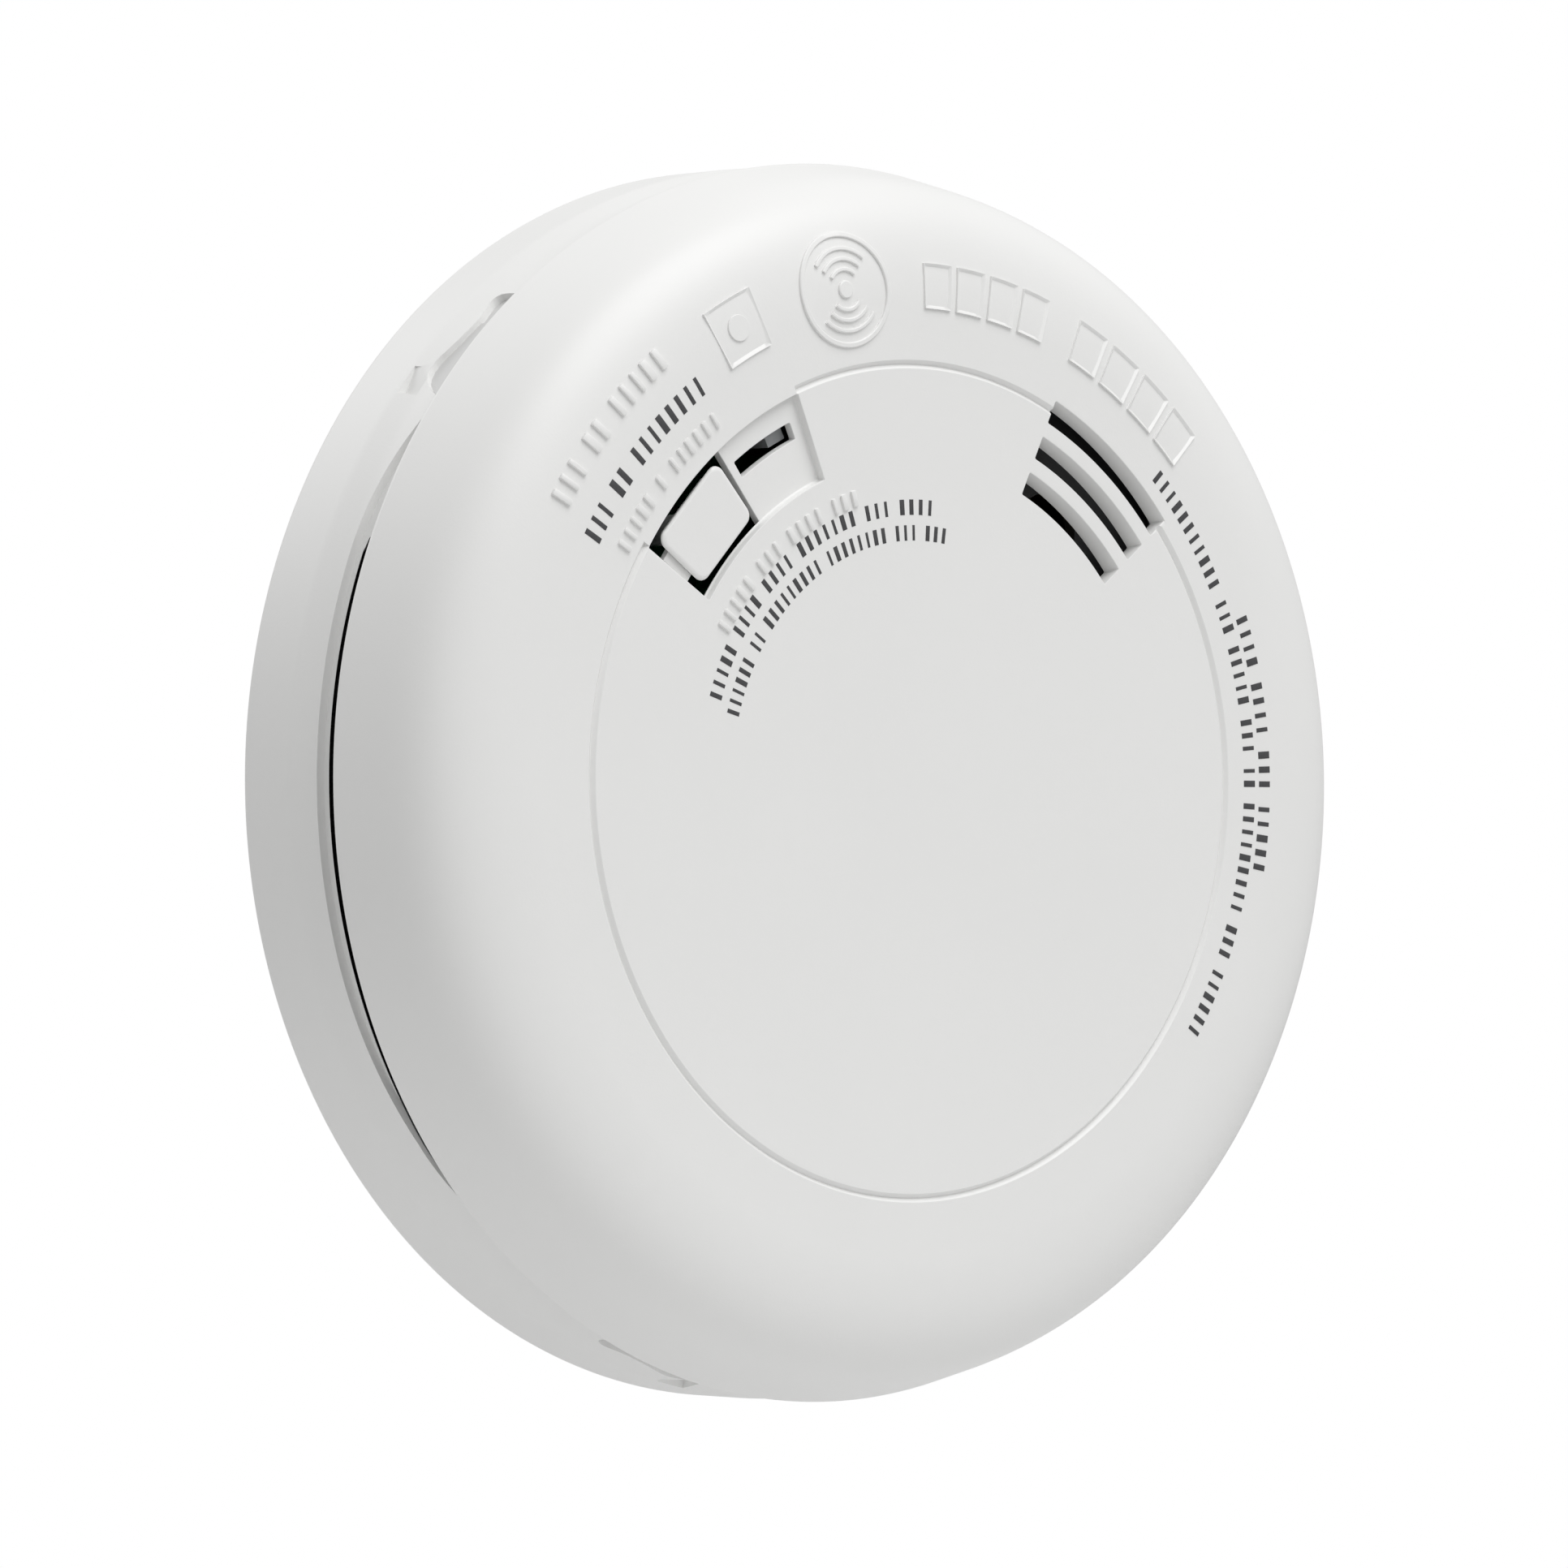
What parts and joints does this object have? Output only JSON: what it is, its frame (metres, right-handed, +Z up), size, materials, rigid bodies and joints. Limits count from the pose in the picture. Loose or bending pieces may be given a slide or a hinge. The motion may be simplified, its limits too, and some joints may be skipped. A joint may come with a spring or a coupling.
{
  "type": "carbon monoxide detector",
  "caption": "Slim round wall alarm for carbon monoxide and smoke: twist-lock bracket, housing, domed cover with test button, light slot and horn louvres, electronics inside.",
  "frame": {"origin": "centre of the mounting bracket's back face, on the wall plane", "axes": "-Y out of the wall towards the room, +Z up, +X to the right as seen from the room; test button at the upper left, horn louvres at the upper right"},
  "size_m": [0.142, 0.033, 0.142],
  "materials": {
    "cover_white": "fine satin moulded white",
    "housing_white": "fine satin moulded white",
    "button_white": "fine satin moulded white",
    "bracket_white": "satin moulded white",
    "black_plastic": "matt black",
    "black_mesh": "woven black mesh",
    "board_green": "solder mask over glass fibre",
    "steel": "zinc plated",
    "brass": "rolled",
    "nickel": "nickel plated",
    "piezo_ceramic": "silvered",
    "clear_acrylic": "clear, frosted ends",
    "battery_wrap": "shrunk film",
    "cell_blue": "moulded",
    "red_plastic": "tinted lens or sleeve",
    "green_plastic": "tinted lens",
    "capacitor_wrap": "shrunk film",
    "ferrite": "pressed ferrite under a sleeve",
    "label_paper": "coated label stock"
  },
  "bodies": {
    "bracket": {"mounting_bracket": "bracket_white"},
    "alarm": {"back_housing": "housing_white", "vent_screen_1": "black_mesh", "vent_screen_2": "black_mesh", "vent_screen_3": "black_mesh", "rating_label": "label_paper", "front_cover": "cover_white", "test_switch_body": "black_plastic", "circuit_board": "board_green", "board_screw_1": "steel", "board_screw_2": "steel", "board_screw_3": "steel", "control_chip": "black_plastic", "horn_driver_chip": "black_plastic", "capacitor_1": "capacitor_wrap", "capacitor_2": "capacitor_wrap", "horn_coil": "ferrite", "light_pipe": "clear_acrylic", "alarm_lamp": "red_plastic", "power_lamp": "green_plastic", "chamber_base": "black_plastic", "chamber_cap": "black_plastic", "insect_screen": "steel", "infrared_lamp": "clear_acrylic", "light_sensor": "black_plastic", "gas_cell": "cell_blue", "gas_cell_cap": "button_white", "horn_housing": "black_plastic", "horn_disc": "brass", "horn_ceramic": "piezo_ceramic", "horn_retainer": "black_plastic", "horn_contact_1": "nickel", "horn_contact_2": "nickel", "horn_contact_3": "nickel", "battery_1": "battery_wrap", "battery_2": "battery_wrap", "battery_link": "nickel", "negative_tab": "nickel", "positive_tab": "nickel", "negative_lead": "black_plastic", "positive_lead": "red_plastic", "power_switch_body": "black_plastic"},
    "button": {"test_button": "button_white"},
    "switch_plunger": {"test_switch_plunger": "black_plastic"},
    "power_knob": {"power_switch_knob": "button_white"}
  },
  "joints": [
    {"name": "alarm_twist", "type": "hinge", "parent": "bracket", "child": "alarm", "pos_m": [0, 0, 0], "axis": [0, -1, 0], "range_deg": [0, 18]},
    {"name": "button_press", "type": "hinge", "parent": "alarm", "child": "button", "pos_m": [-0.03468, -0.03135, 0.02288], "axis": [-0.8347, 0, 0.5507], "range_deg": [0, 3.5], "stiffness_Nm_per_rad": 0.3},
    {"name": "plunger_press", "type": "slide", "parent": "alarm", "child": "switch_plunger", "axis": [0, 1, 0], "range_m": [0, 0.000378]},
    {"name": "power_slide", "type": "slide", "parent": "alarm", "child": "power_knob", "axis": [1, 0, 0], "range_m": [0, 0.002]}
  ],
  "couplings": [
    {"joint": "button_press", "follows": "plunger_press", "rad_per_m": 161.2}
  ]
}
